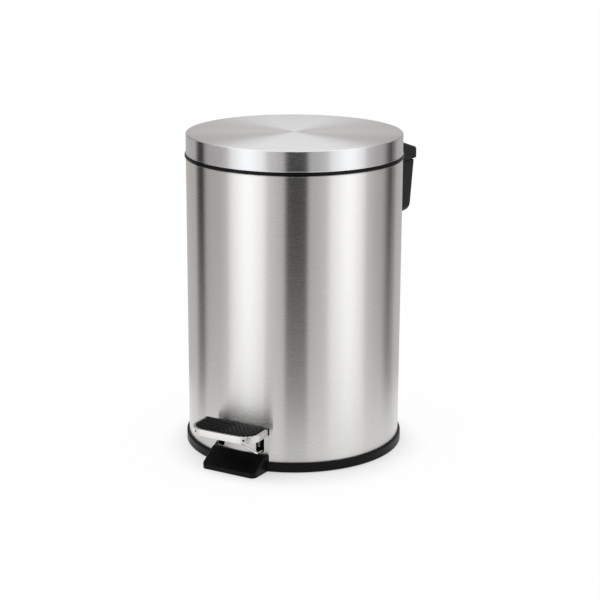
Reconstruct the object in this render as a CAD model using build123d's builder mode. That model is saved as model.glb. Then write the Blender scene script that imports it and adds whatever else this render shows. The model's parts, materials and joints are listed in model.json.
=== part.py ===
# Pedal trash can: a round steel body on a moulded base, with a lid that a foot pedal opens.
# Millimetres, +Z up. The origin is on the floor under the middle of the body,
# the pedal points towards -Y and the lid hinge towards +Y.
from build123d import *
import os
from math import asin, cos, degrees, hypot, radians, sin, sqrt

os.makedirs("parts", exist_ok=True)

# Body, lid and clearances
body_radius = 125.0
sheet = 0.8
can_height = 369.2
lid_depth = 23.7
lid_gap = 0.5
lid_edge_round = 1.4
fit_gap = 0.15
move_gap = 0.6
running_gap = 0.06

# Base moulding and feet
foot_height = 1.0
foot_sunk = 1.2
foot_radius = 9.0
foot_inset = 21.0
foot_count = 4
foot_angle = 45.0
base_floor = 3.2
base_ring_height = 10.7
base_ring_proud = 3.0
base_ring_round = 1.5
spigot_wall = 3.0
spigot_rise = 1.8
toe_reach = 26.2
toe_root = 12.0
toe_crest = 1.2
toe_half_width = 36.2
toe_taper = 1.2
toe_rise = 20.5
toe_lip = 6.0
toe_round = 2.2
toe_corner = 6.0

# Rim ring and inner bucket
rim_band = 3.2
rim_proud = 1.5
rim_round = 0.7
rim_cap = 1.6
rim_skirt = 12.0
rim_wall = 2.0
rim_ledge = 2.5
bucket_gap = 14.0
bucket_draft = 7.0
bucket_wall = 1.6
bucket_clearance = 2.3
bucket_corner = 8.0
bucket_lip_width = 7.0
bucket_lip = 2.4
bucket_lip_drop = 0.5
bail_wire = 3.0
bail_overhang = 4.0
bail_grip_diameter = 7.0
bail_grip_sweep = 40.0
front_turn = 270.0
ear_width = 11.0
ear_wall = 3.0

# Lid liner and its soft stops
liner_wall = 2.2
liner_ring = 4.0
liner_lift = 1.0
bumper_radius = 1.4
bumper_sunk = 2.0
bumper_count = 3
bumper_angle = 30.0

# Hinge behind the body
hinge_half_width = 76.4
hinge_reach = 46.8
hinge_drop = 25.5
hinge_wall = 2.5
hinge_corner = 8.0
hinge_pin_diameter = 3.5
hinge_pin_inset = 7.3
hinge_pin_drop = 1.0
knuckle_wall = 1.9
knuckle_inset = 14.0
outer_knuckle_width = 12.0
inner_knuckle_width = 14.0
cover_edge_height = 11.5
cover_root = 2.0
cover_root_drop = 0.4
cover_edge_round = 3.0
cover_outer_wall = 2.0
cover_flange_half_width = 42.0
cover_flange_height = 17.0
cover_flange = 4.5
cover_flange_lap = 5.0
housing_height = 63.2
housing_setback = 7.1
housing_draft = 9.2
housing_bottom_round = 11.0
housing_drop = 0.9
housing_bevel_drop = 3.4
housing_bevel_run = 7.0
housing_screw_inset = 10.5
housing_screw_low = 12.5
housing_screw_high = 44.5
boss_radius = 5.0
boss_length = 12.0

# Screws
screw_diameter = 3.0
screw_head_diameter = 6.6
screw_head = 2.0
screw_length = 7.0
screw_slot_width = 1.0
screw_slot_depth = 0.9
lid_screw_side = 30.0
lid_screw_rise = 11.0
crank_screw_inset = 2.0
crank_screw_pitch = 7.5

# Linkage from the pedal to the lid
lid_opening = 75.0
axle_y = -16.0
axle_z = 32.0
axle_diameter = 6.0
rod_diameter = 4.0
rod_inset = 7.5
rod_travel = 21.5
rod_hook_play = 0.9
rod_side_gap = 1.5
rod_joggle_drop = 48.0
rod_joggle_rise = 16.0
rod_bend = 6.0
rod_hook_bend = 3.0
rod_slot_side = 3.0
crank_lead = 1.115
crank_thickness = 10.0
crank_rim = 3.4
crank_web = 12.0
shoe_wall = 3.0
shoe_height = 16.0
shoe_socket = 11.0
guide_drop = 96.0
guide_height = 10.0
guide_width = 16.0
guide_play = 0.4
nut_wall = 1.8
nut_thickness = 1.0

# Pedal lever
arm_height = 9.0
arm_thickness = 3.0
arm_inner = 22.0
arm_boss_radius = 8.0
arm_tip_reach = 30.0
heel_length = 13.0
heel_gap = 6.0
rear_arm_inner = 4.6
rear_arm_end = 5.0
web_thickness = 3.0
web_start = 0.0
web_end = 20.0
bush_wall = 1.5
bush_flange = 1.0
post_gap = 3.0
post_width = 7.0
post_half_depth = 9.0
clip_thickness = 1.0
clip_wall = 2.4
stop_inset = 22.5
stop_radius = 9.0
stop_pad = 2.0

# Pedal tread
pedal_half_width = 43.7
pedal_gap = 2.8
pedal_depth = 42.0
pedal_top = 55.2
pedal_skirt = 7.6
pedal_sheet = 0.9
pedal_bow = 1.6
pedal_corner = 19.0
pedal_taper = 2.2
pedal_edge_round = 0.8
pedal_back_wall = 4.6
pedal_arm_rise = 0.6
pad_margin = 3.0
pad_proud = 1.0
nub_diameter = 2.2
nub_side = 31.5
nub_setback = 3.4
nub_rise = 4.0
rivet_diameter = 3.0
rivet_rise = 2.6

# Wire return spring under the pedal, and the body's slots that it shares with the lever arms
spring_wire = 2.4
spring_arm_gap = 2.2
spring_level = 24.8
spring_bend_reach = 9.0
spring_crossbar_inset = 17.0
spring_crossbar_half = 10.0
spring_crossbar_drop = 4.7
spring_bend = 3.4
spring_gap = 0.3
seat_inset = 21.0
seat_depth = 10.0
seat_wall = 1.2
slot_play = 1.0
slot_footroom = 2.0
slot_corner = 3.0

# Levels and radii of the body that follow from the sizes above
lid_bottom = can_height - lid_depth
rim_top = lid_bottom - lid_gap
rim_bottom = rim_top - rim_band
shell_top = rim_top - rim_cap
floor_top = foot_height + base_floor
base_ring_top = foot_height + base_ring_height
ring_radius = body_radius + base_ring_proud
shell_inside = body_radius - sheet
spigot_outer = shell_inside - fit_gap
foot_circle = body_radius - foot_inset
bucket_mouth = body_radius - bucket_gap
bucket_foot = bucket_mouth - bucket_draft
lip_top = rim_top - bucket_lip_drop
lip_bottom = lip_top - bucket_lip
lip_radius = bucket_mouth + bucket_lip_width
bail_level = lip_top + bail_grip_diameter / 2 + fit_gap
bail_bow = bucket_mouth + bail_overhang

# Hinge line: the pin stands just inside the cover's outer face, at the split of cover and housing
hinge_split = lid_bottom - hinge_drop
hinge_back = body_radius + hinge_reach
pin_y = hinge_back - hinge_pin_inset
pin_z = hinge_split - hinge_pin_drop
pin_radius = hinge_pin_diameter / 2
knuckle_radius = pin_radius + knuckle_wall
cover_root_y = body_radius + cover_root
cover_root_z = lid_bottom - cover_root_drop
cover_edge_z = hinge_split + cover_edge_height
cover_slope = (cover_root_z - cover_edge_z) / (hinge_back - cover_root_y)
outer_knuckle_end = hinge_half_width - knuckle_inset
outer_knuckle_start = outer_knuckle_end - outer_knuckle_width
inner_knuckle_start = outer_knuckle_start - inner_knuckle_width
housing_bottom = hinge_split - housing_height
housing_screw_side = hinge_half_width - housing_screw_inset
housing_screw_levels = (housing_bottom + housing_screw_low, housing_bottom + housing_screw_high)

# Lever and crank both swing evenly about the level of their own pivot
rod_y = body_radius - rod_inset
rear_arm = rod_y - axle_y
pedal_swing = 2 * degrees(asin(rod_travel / 2 / rear_arm))
eye_z = axle_z - rod_travel / 2
hook_offset = rod_travel / (crank_lead * radians(lid_opening))
hook_y = pin_y - hook_offset
hook_z = pin_z - rod_travel / 2
hook_far = hypot(hook_offset, rod_travel / 2)
rod_radius = rod_diameter / 2
rod_side = crank_thickness / 2 + rod_radius + rod_side_gap
slot_width = rod_diameter + 2 * rod_hook_play
crank_depth = slot_width + 2 * crank_rim
axle_radius = axle_diameter / 2
spring_radius = spring_wire / 2
rod_joggle_start = hinge_split - rod_joggle_drop
guide_level = rod_joggle_start - guide_drop
stop_y = rod_y - stop_inset
post_start = arm_inner + arm_thickness + bush_flange + post_gap
post_end = post_start + post_width

# Pedal levels
pedal_back_y = -(body_radius + pedal_gap)
pedal_front_y = pedal_back_y - pedal_depth
pedal_bottom = pedal_top - pedal_skirt
core_top = pedal_top - pedal_sheet - fit_gap
arm_level = pedal_bottom + pedal_arm_rise
arm_tip_y = pedal_back_y - arm_tip_reach
rivet_y = (pedal_back_y + arm_tip_y) / 2
rivet_level = pedal_bottom + rivet_rise
crossbar_y = pedal_front_y + spring_crossbar_inset
crossbar_z = pedal_bottom - spring_crossbar_drop
bucket_bottom = arm_level + arm_height / 2 + bucket_clearance

# Slots of the body, around the lever arms at both ends of their stroke and the spring's wire
spring_side = arm_inner + arm_thickness + spring_arm_gap + spring_radius
seat_y = -(body_radius - seat_inset)
arm_out = body_radius + axle_y
arm_at_body = axle_z + (arm_level - axle_z) * arm_out / (axle_y - pedal_back_y)
arm_stroke = arm_out * sin(radians(pedal_swing))
slot_inner = arm_inner - slot_play
slot_outer = spring_side + spring_radius + slot_play
slot_top = arm_at_body + arm_height / 2 + slot_play
slot_bottom = min(spring_level - spring_radius, arm_at_body - arm_height / 2 - arm_stroke) - slot_footroom

print("pedal swing", round(pedal_swing, 4), "degrees for a lid opening of", lid_opening)
print("hinge pin at y", round(pin_y, 3), "z", round(pin_z, 3))
print("rod eye at y", round(rod_y, 3), "z", round(eye_z, 3))


def round_y(radius, x):
    """Y of a round wall behind the body, at a given X."""
    return sqrt(radius**2 - x**2)


def cover_line(y):
    """Height of the hinge cover's sloping top at a given Y."""
    return cover_edge_z + (hinge_back - y) * cover_slope


def rear_arm_line(y):
    """Height of the lever's rear arm at a given Y."""
    return axle_z + (y - axle_y) * (eye_z - axle_z) / rear_arm


def radial_plane(side, radius, level):
    """Plane at a given radius behind the body, facing outwards where the body's wall is at a given X."""
    turn = asin(side / body_radius)
    outward = (sin(turn), cos(turn), 0)
    return Plane(origin=(radius * sin(turn), radius * cos(turn), level), x_dir=(0, 0, 1), z_dir=outward)


def pair(start, end):
    """Where the two mirrored slices from start to end begin, on the X axis."""
    return (start, -end)


def bar(points, height):
    """Outline of a bar of one height along a chain of points in the YZ plane."""
    upper = [(y, z + height / 2) for y, z in points]
    lower = [(y, z - height / 2) for y, z in reversed(points)]
    return upper + lower


def outline_face(points):
    """Face inside a closed chain of straight lines, in the sketch that is open."""
    Polygon(*points, align=None)


def tread_face(inset, back_y):
    """Pedal outline from above, drawn in by inset up to back_y: tapering sides, bowed front, round corners."""
    corner_y = pedal_front_y + pedal_bow
    edge_y = back_y + inset
    edge_x = pedal_half_width - pedal_taper * (edge_y - corner_y) / (pedal_back_y - corner_y)
    with BuildSketch(mode=Mode.PRIVATE) as tread:
        with BuildLine():
            Polyline(
                (-pedal_half_width, corner_y),
                (-edge_x, edge_y),
                (edge_x, edge_y),
                (pedal_half_width, corner_y),
            )
            ThreePointArc((pedal_half_width, corner_y), (0, pedal_front_y), (-pedal_half_width, corner_y))
        make_face()
        fillet(tread.vertices().group_by(Axis.Y)[0], pedal_corner)
        if inset > 0:
            offset(amount=-inset)
    return tread.sketch


def hinge_block(points, half_width, corner, rounding, top_rounding):
    """Solid of a YZ outline right across the hinge, with round rear corners and round bottom or top edges."""
    rear_y = max(y for y, z in points)
    with BuildPart(mode=Mode.PRIVATE) as block:
        with BuildSketch(Plane.YZ) as outline:
            outline_face(points)
            if rounding > 0:
                low_corners = outline.vertices().group_by(Axis.Y)[0]
                fillet(low_corners.sort_by(Axis.X)[-1], rounding)
        extrude(amount=half_width, both=True)
        rear_edges = (
            block.edges()
            .filter_by(lambda edge: abs(abs(edge.center().X) - half_width) < fit_gap)
            .filter_by(lambda edge: max(v.Y for v in edge.vertices()) > rear_y - fit_gap)
            .filter_by(lambda edge: abs(edge.tangent_at(0).Z) > abs(edge.tangent_at(0).Y))
        )
        fillet(rear_edges, corner)
        if top_rounding > 0:
            slope = block.faces().sort_by(lambda face: face.normal_at().Y * face.normal_at().Z)[-1]
            fillet(slope.edges().sort_by(Axis.Y)[1:], top_rounding)
    return block.part


def screw(plane):
    """Pan-head screw standing on a plane, with its shank behind the plane and a slot in its head."""
    with BuildSketch(plane) as shank:
        Circle(screw_diameter / 2)
    extrude(shank.sketch, amount=-screw_length)
    with BuildSketch(plane) as head:
        Circle(screw_head_diameter / 2)
    extrude(head.sketch, amount=screw_head)
    with BuildSketch(plane.offset(screw_head - screw_slot_depth)) as head_slot:
        Rectangle(screw_head_diameter, screw_slot_width)
    extrude(head_slot.sketch, amount=screw_slot_depth, mode=Mode.SUBTRACT)


def finish(builder, name):
    """Label a finished piece and write it."""
    builder.part.label = name
    export_step(builder.part, f"parts/{name}.step")


# Base moulding: floor, ring around the body, spigot inside it, toe guard, axle posts and spring seats
toe_front_y = -(body_radius + toe_reach)
toe_back_y = -(body_radius - toe_root)
toe_crest_y = -(body_radius + toe_crest)
stop_level = rear_arm_line(stop_y + stop_radius) - arm_height / 2 - move_gap
seat_top = spring_level + spring_radius + seat_wall
spigot_inner = spigot_outer - spigot_wall
notch_depth = shell_inside - round_y(spigot_inner, arm_inner + arm_thickness + slot_play) + slot_play
with BuildPart() as base_tray:
    with BuildSketch(Plane.XY.offset(foot_height)):
        outline_face(
            [
                (-toe_half_width, toe_back_y),
                (-toe_half_width + toe_taper, toe_front_y),
                (toe_half_width - toe_taper, toe_front_y),
                (toe_half_width, toe_back_y),
            ]
        )
    extrude(amount=toe_rise - foot_height)
    fillet(base_tray.edges().filter_by(Axis.Z).group_by(Axis.Y)[0], toe_corner)
    with BuildSketch(Plane.YZ):
        outline_face(
            [
                (toe_crest_y, toe_rise),
                (toe_front_y, toe_lip),
                (toe_front_y - toe_root, toe_lip),
                (toe_front_y - toe_root, toe_rise),
            ]
        )
    extrude(amount=toe_half_width, both=True, mode=Mode.SUBTRACT)
    slope = base_tray.faces().sort_by(lambda face: -face.normal_at().Y * face.normal_at().Z)[-1]
    ledge_sides = base_tray.faces().sort_by(Axis.Z)[-1].edges().sort_by(Axis.X)
    fillet(slope.edges().sort_by(Axis.Y)[:-1] + [ledge_sides[0], ledge_sides[-1]], toe_round)
    with BuildSketch(Plane.XY.offset(foot_height)):
        Circle(ring_radius)
    extrude(amount=base_ring_height)
    ring_edges = base_tray.edges().filter_by(GeomType.CIRCLE)
    ring_edges = ring_edges.filter_by(lambda edge: abs(edge.radius - ring_radius) < fit_gap)
    fillet(ring_edges.group_by(Axis.Z)[-1], base_ring_round)
    with BuildSketch(Plane.XY.offset(floor_top)):
        Circle(body_radius + fit_gap)
    extrude(amount=toe_rise, mode=Mode.SUBTRACT)
    with BuildSketch(Plane.XY.offset(floor_top)):
        Circle(spigot_outer)
        Circle(spigot_inner, mode=Mode.SUBTRACT)
    extrude(amount=base_ring_top - floor_top + spigot_rise)
    for start in pair(arm_inner - slot_play, arm_inner + arm_thickness + slot_play):
        with BuildSketch(Plane.XY.offset(floor_top)):
            with Locations((start + arm_thickness / 2 + slot_play, -shell_inside)):
                Rectangle(arm_thickness + 2 * slot_play, 2 * notch_depth)
            Circle(shell_inside, mode=Mode.INTERSECT)
        extrude(amount=base_ring_height + spigot_rise, mode=Mode.SUBTRACT)
    for start in pair(post_start, post_end):
        with BuildSketch(Plane.YZ.offset(start)):
            with Locations((axle_y, (floor_top + axle_z) / 2)):
                Rectangle(2 * post_half_depth, axle_z - floor_top)
            with Locations((axle_y, axle_z)):
                Circle(post_half_depth)
                Circle(axle_radius + running_gap, mode=Mode.SUBTRACT)
        extrude(amount=post_end - post_start)
    for side in (-spring_side, spring_side):
        with BuildSketch(Plane.XZ.offset(-seat_y)):
            with Locations((side, (floor_top + seat_top) / 2)):
                Rectangle(spring_wire + 2 * seat_wall, seat_top - floor_top)
            with Locations((side, spring_level)):
                Circle(spring_radius + running_gap, mode=Mode.SUBTRACT)
        extrude(amount=seat_depth / 2, both=True)
    with BuildSketch(Plane.XY.offset(floor_top)):
        with Locations((0, stop_y)):
            Circle(stop_radius)
    extrude(amount=stop_level - stop_pad - floor_top)
    with BuildSketch(Plane.XY.offset(foot_height)):
        Circle(foot_radius + fit_gap)
        with PolarLocations(foot_circle, foot_count, start_angle=foot_angle):
            Circle(foot_radius + fit_gap)
    extrude(amount=foot_sunk, mode=Mode.SUBTRACT)
finish(base_tray, "base_tray")

with BuildPart() as rubber_feet:
    with BuildSketch():
        Circle(foot_radius)
        with PolarLocations(foot_circle, foot_count, start_angle=foot_angle):
            Circle(foot_radius)
    extrude(amount=foot_height + foot_sunk)
finish(rubber_feet, "rubber_feet")

with BuildPart() as lever_stop:
    with BuildSketch(Plane.XY.offset(stop_level - stop_pad)):
        with Locations((0, stop_y)):
            Circle(stop_radius)
    extrude(amount=stop_pad)
finish(lever_stop, "lever_stop")

# Steel body: a tube with two pedal slots in front and one slot behind for the push rod
rod_slot_bottom = rod_joggle_start - rod_diameter
rod_slot_top = rod_joggle_start + rod_joggle_rise + rod_travel
with BuildPart() as outer_shell:
    with BuildSketch(Plane.XY.offset(floor_top)):
        Circle(body_radius)
        Circle(shell_inside, mode=Mode.SUBTRACT)
    extrude(amount=shell_top - floor_top)
    with BuildSketch(Plane.XZ):
        for side in (-1, 1):
            with Locations((side * (slot_inner + slot_outer) / 2, (slot_bottom + slot_top) / 2)):
                RectangleRounded(slot_outer - slot_inner, slot_top - slot_bottom, slot_corner)
    extrude(amount=ring_radius, mode=Mode.SUBTRACT)
    with BuildSketch(Plane.XZ):
        with Locations((-rod_side / 4, (rod_slot_bottom + rod_slot_top) / 2)):
            SlotOverall(rod_slot_top - rod_slot_bottom, rod_diameter + 2 * rod_slot_side, rotation=90)
    extrude(amount=-ring_radius, mode=Mode.SUBTRACT)
    for level in housing_screw_levels:
        for side in (-housing_screw_side, housing_screw_side):
            with BuildSketch(radial_plane(side, body_radius, level)):
                Circle(screw_diameter / 2 + fit_gap)
            extrude(amount=boss_radius, both=True, mode=Mode.SUBTRACT)
finish(outer_shell, "outer_shell")

# Rim ring: caps the body's top edge, grips it from inside and carries the bucket on a ledge
ledge_outer = lip_radius + fit_gap
ledge_inner = bucket_mouth + move_gap
with BuildPart() as rim_ring:
    with BuildSketch(Plane.XZ):
        outline_face(
            [
                (body_radius + rim_proud, rim_bottom),
                (body_radius + rim_proud, rim_top),
                (ledge_outer, rim_top),
                (ledge_outer, lip_bottom),
                (ledge_inner, lip_bottom),
                (ledge_inner, lip_bottom - rim_ledge),
                (spigot_outer - rim_wall, lip_bottom - rim_ledge),
                (spigot_outer - rim_wall, rim_top - rim_skirt),
                (spigot_outer, rim_top - rim_skirt),
                (spigot_outer, shell_top),
                (body_radius + fit_gap, shell_top),
                (body_radius + fit_gap, rim_bottom),
            ]
        )
    revolve(axis=Axis.Z)
    rim_edges = rim_ring.edges().filter_by(GeomType.CIRCLE)
    rim_edges = rim_edges.filter_by(lambda edge: abs(edge.radius - body_radius - rim_proud) < fit_gap)
    fillet(rim_edges, rim_round)
finish(rim_ring, "rim_ring")

# Inner bucket with a lip and two ears for its bail
ear_inner = bucket_mouth - bucket_wall
with BuildPart() as inner_bucket:
    with BuildSketch(Plane.XZ):
        outline_face(
            [
                (0, bucket_bottom),
                (bucket_foot, bucket_bottom),
                (bucket_mouth, lip_bottom),
                (lip_radius, lip_bottom),
                (lip_radius, lip_top),
                (bucket_mouth - bucket_wall, lip_top),
                (bucket_foot - bucket_wall, bucket_bottom + bucket_wall),
                (0, bucket_bottom + bucket_wall),
            ]
        )
    revolve(axis=Axis.Z)
    bucket_edges = inner_bucket.edges().filter_by(GeomType.CIRCLE)
    fillet(bucket_edges.filter_by(lambda edge: abs(edge.radius - bucket_foot) < fit_gap), bucket_corner)
    bucket_edges = inner_bucket.edges().filter_by(GeomType.CIRCLE)
    inside_foot = bucket_edges.filter_by(lambda edge: abs(edge.radius - bucket_foot + bucket_wall) < fit_gap)
    fillet(inside_foot, bucket_corner - bucket_wall)
    for start in pair(ear_inner, ear_inner + ear_wall):
        with BuildSketch(Plane.YZ.offset(start)):
            with Locations((0, (lip_bottom + bail_level) / 2)):
                Rectangle(ear_width, bail_level - lip_bottom)
            with Locations((0, bail_level)):
                Circle(ear_width / 2)
                Circle(bail_wire / 2 + running_gap, mode=Mode.SUBTRACT)
        extrude(amount=ear_wall)
finish(inner_bucket, "inner_bucket")

# Wire bail folded onto the bucket's lip, with a grip at its middle
bail_plane = Plane.XY.offset(bail_level)
with BuildPart() as bucket_bail:
    with BuildLine(bail_plane):
        CenterArc((0, 0), bail_bow, 180, 180)
    with BuildSketch(Plane(origin=(-bail_bow, 0, bail_level), z_dir=(0, -1, 0))):
        Circle(bail_wire / 2)
    sweep()
    for side in (-1, 1):
        with Locations((side * bail_bow, 0, bail_level)):
            Sphere(bail_wire / 2)
        with BuildSketch(Plane(origin=(side * bail_bow, 0, bail_level), z_dir=(-side, 0, 0))):
            Circle(bail_wire / 2)
        extrude(amount=bail_bow - ear_inner + ear_wall)
finish(bucket_bail, "bucket_bail")

grip_start = front_turn - bail_grip_sweep / 2
grip_turn = radians(grip_start)
grip_plane = Plane(
    origin=(bail_bow * cos(grip_turn), bail_bow * sin(grip_turn), bail_level),
    z_dir=(-sin(grip_turn), cos(grip_turn), 0),
)
with BuildPart() as bail_grip:
    with BuildLine(bail_plane):
        CenterArc((0, 0), bail_bow, grip_start, bail_grip_sweep)
    with BuildSketch(grip_plane):
        Circle(bail_grip_diameter / 2)
        Circle(bail_wire / 2 + running_gap, mode=Mode.SUBTRACT)
    sweep()
finish(bail_grip, "bail_grip")

# Lower hinge housing: a hollow moulding behind the body, with the fixed knuckles on its outer wall
housing_back = hinge_back - housing_setback
housing_top = hinge_split - housing_drop
housing_foot_y = housing_back - housing_draft
hinge_front_y = round_y(body_radius, hinge_half_width) - hinge_corner
housing_solid = hinge_block(
    [
        (hinge_front_y, housing_bottom),
        (housing_foot_y, housing_bottom),
        (housing_back, housing_top - housing_bevel_drop),
        (housing_back - housing_bevel_run, housing_top),
        (hinge_front_y, housing_top),
    ],
    hinge_half_width,
    hinge_corner,
    housing_bottom_round,
    0,
)
housing_hollow = hinge_block(
    [
        (hinge_front_y - hinge_corner, housing_bottom + hinge_wall),
        (housing_foot_y - hinge_wall, housing_bottom + hinge_wall),
        (housing_back - hinge_wall, housing_top + hinge_wall),
        (hinge_front_y - hinge_corner, housing_top + hinge_wall),
    ],
    hinge_half_width - hinge_wall,
    hinge_corner - hinge_wall,
    housing_bottom_round - hinge_wall,
    0,
)
with BuildPart() as housing_bosses:
    for level in housing_screw_levels:
        for side in (-housing_screw_side, housing_screw_side):
            with BuildSketch(radial_plane(side, body_radius, level)):
                Circle(boss_radius)
            extrude(amount=boss_length)
    add(housing_solid, mode=Mode.INTERSECT)
with BuildPart() as hinge_housing:
    add(housing_solid)
    add(housing_hollow, mode=Mode.SUBTRACT)
    add(housing_bosses.part)
    for start in pair(outer_knuckle_start, outer_knuckle_end):
        with BuildSketch(Plane.YZ.offset(start)):
            with Locations((pin_y, pin_z)):
                Circle(knuckle_radius)
        extrude(amount=outer_knuckle_end - outer_knuckle_start)
    for start in pair(inner_knuckle_start - move_gap, outer_knuckle_start):
        with BuildSketch(Plane.YZ.offset(start)):
            with Locations((pin_y, pin_z)):
                Circle(knuckle_radius + move_gap)
        extrude(amount=outer_knuckle_start - inner_knuckle_start + move_gap, mode=Mode.SUBTRACT)
    with BuildSketch(Plane.YZ):
        with Locations((pin_y, pin_z)):
            Rectangle(4 * knuckle_radius, 2 * crank_depth)
    extrude(amount=crank_thickness / 2 + move_gap, both=True, mode=Mode.SUBTRACT)
    with BuildSketch(Plane.YZ):
        with Locations((pin_y, pin_z)):
            Circle(pin_radius + running_gap)
    extrude(amount=hinge_half_width, both=True, mode=Mode.SUBTRACT)
    with BuildSketch(Plane.XY):
        Circle(body_radius + fit_gap)
    extrude(amount=can_height, mode=Mode.SUBTRACT)
    for level in housing_screw_levels:
        for side in (-housing_screw_side, housing_screw_side):
            with BuildSketch(radial_plane(side, body_radius, level)):
                Circle(screw_diameter / 2 + running_gap)
            extrude(amount=screw_length, mode=Mode.SUBTRACT)
finish(hinge_housing, "hinge_housing")

with BuildPart() as housing_screws:
    for level in housing_screw_levels:
        for side in (-housing_screw_side, housing_screw_side):
            inward = radial_plane(side, shell_inside - fit_gap, level)
            screw(Plane(origin=inward.origin, x_dir=(0, 0, 1), z_dir=-inward.z_dir))
finish(housing_screws, "housing_screws")

with BuildPart() as hinge_pin:
    with BuildSketch(Plane.YZ):
        with Locations((pin_y, pin_z)):
            Circle(pin_radius)
    extrude(amount=outer_knuckle_end, both=True)
finish(hinge_pin, "hinge_pin")

# Lid: a pressed steel cap over a plastic liner
with BuildPart() as lid_shell:
    with BuildSketch(Plane.XY.offset(lid_bottom)):
        Circle(body_radius)
    extrude(amount=lid_depth)
    fillet(lid_shell.edges().group_by(Axis.Z)[-1], lid_edge_round)
    offset(amount=-sheet, openings=lid_shell.faces().sort_by(Axis.Z)[0])
    for side in (-lid_screw_side, lid_screw_side):
        with BuildSketch(radial_plane(side, body_radius, lid_bottom + lid_screw_rise)):
            Circle(screw_diameter / 2 + fit_gap)
        extrude(amount=boss_radius, both=True, mode=Mode.SUBTRACT)
finish(lid_shell, "lid_shell")

liner_bottom = lid_bottom + liner_lift
liner_top = can_height - sheet - fit_gap
bumper_circle = spigot_outer - liner_ring / 2
with BuildPart() as lid_liner:
    with BuildSketch(Plane.XY.offset(liner_bottom)):
        Circle(spigot_outer)
    extrude(amount=liner_top - liner_bottom)
    fillet(lid_liner.edges().group_by(Axis.Z)[-1], lid_edge_round)
    with BuildSketch(Plane.XY.offset(liner_bottom)):
        Circle(spigot_outer - liner_ring)
    extrude(amount=liner_top - liner_wall - liner_bottom, mode=Mode.SUBTRACT)
    with BuildSketch(Plane.XY.offset(liner_bottom)):
        with PolarLocations(bumper_circle, bumper_count, start_angle=bumper_angle):
            Circle(bumper_radius + running_gap)
    extrude(amount=bumper_sunk, mode=Mode.SUBTRACT)
    for side in (-lid_screw_side, lid_screw_side):
        with BuildSketch(radial_plane(side, body_radius, lid_bottom + lid_screw_rise)):
            Circle(screw_diameter / 2 + running_gap)
        extrude(amount=-screw_length, mode=Mode.SUBTRACT)
finish(lid_liner, "lid_liner")

with BuildPart() as lid_bumpers:
    with BuildSketch(Plane.XY.offset(rim_top + lid_gap / 2)):
        with PolarLocations(bumper_circle, bumper_count, start_angle=bumper_angle):
            Circle(bumper_radius)
    extrude(amount=liner_bottom + bumper_sunk - rim_top - lid_gap / 2)
finish(lid_bumpers, "lid_bumpers")

# Hinge cover: a hollow wedge on the lid, with a flange up the lid's side and two moving knuckles
flange_inside = body_radius + fit_gap
flange_outside = flange_inside + cover_flange
inner_knuckle_end = outer_knuckle_start - move_gap
cover_solid = hinge_block(
    [
        (hinge_front_y, hinge_split),
        (hinge_back, hinge_split),
        (hinge_back, cover_edge_z),
        (cover_root_y, cover_root_z),
        (hinge_front_y, cover_root_z),
    ],
    hinge_half_width,
    hinge_corner,
    0,
    cover_edge_round,
)
cover_hollow = hinge_block(
    [
        (hinge_front_y - hinge_corner, hinge_split - hinge_wall),
        (hinge_back - cover_outer_wall, hinge_split - hinge_wall),
        (hinge_back - cover_outer_wall, cover_line(hinge_back - cover_outer_wall) - hinge_wall),
        (cover_root_y, cover_root_z - hinge_wall),
        (hinge_front_y - hinge_corner, cover_root_z - hinge_wall),
    ],
    hinge_half_width - hinge_wall,
    hinge_corner - cover_outer_wall,
    0,
    0,
)
with BuildPart() as cover_webs:
    for start in pair(inner_knuckle_start, inner_knuckle_end):
        with BuildSketch(Plane.YZ.offset(start)):
            with Locations((hinge_back, pin_z)):
                Rectangle(2 * (hinge_pin_inset + knuckle_radius), 2 * can_height)
        extrude(amount=inner_knuckle_end - inner_knuckle_start)
    add(cover_solid, mode=Mode.INTERSECT)
crank_screw_planes = [
    Plane(
        origin=(0, pin_y - inset, cover_line(pin_y - inset)),
        x_dir=(1, 0, 0),
        z_dir=(0, cover_slope, 1),
    )
    for inset in (crank_screw_inset, crank_screw_inset + crank_screw_pitch)
]
with BuildPart() as lid_hinge_cover:
    add(cover_solid)
    add(cover_hollow, mode=Mode.SUBTRACT)
    add(cover_webs.part)
    for start in pair(inner_knuckle_start, inner_knuckle_end):
        with BuildSketch(Plane.YZ.offset(start)):
            with Locations((pin_y, pin_z)):
                Circle(knuckle_radius)
        extrude(amount=inner_knuckle_end - inner_knuckle_start)
    with BuildSketch(Plane.YZ):
        with Locations((pin_y, pin_z)):
            Circle(pin_radius + running_gap)
    extrude(amount=hinge_half_width, both=True, mode=Mode.SUBTRACT)
    with BuildSketch(Plane.XY.offset(lid_bottom - cover_flange_lap)):
        Circle(flange_outside)
        with Locations((0, body_radius)):
            Rectangle(2 * cover_flange_half_width, body_radius, mode=Mode.INTERSECT)
    extrude(amount=cover_flange_lap + cover_flange_height)
    with BuildSketch(Plane.XY):
        Circle(body_radius + rim_proud + move_gap)
    extrude(amount=lid_bottom, mode=Mode.SUBTRACT)
    with BuildSketch(Plane.XY.offset(lid_bottom)):
        Circle(flange_inside)
    extrude(amount=lid_depth, mode=Mode.SUBTRACT)
    for side in (-lid_screw_side, lid_screw_side):
        with BuildSketch(radial_plane(side, flange_outside, lid_bottom + lid_screw_rise)):
            Circle(screw_diameter / 2 + running_gap)
        extrude(amount=screw_length, both=True, mode=Mode.SUBTRACT)
    for plane in crank_screw_planes:
        with BuildSketch(plane):
            Circle(screw_diameter / 2 + running_gap)
        extrude(amount=-screw_length, mode=Mode.SUBTRACT)
finish(lid_hinge_cover, "lid_hinge_cover")

with BuildPart() as lid_screws:
    for side in (-lid_screw_side, lid_screw_side):
        screw(radial_plane(side, flange_outside + running_gap, lid_bottom + lid_screw_rise))
finish(lid_screws, "lid_screws")

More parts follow.
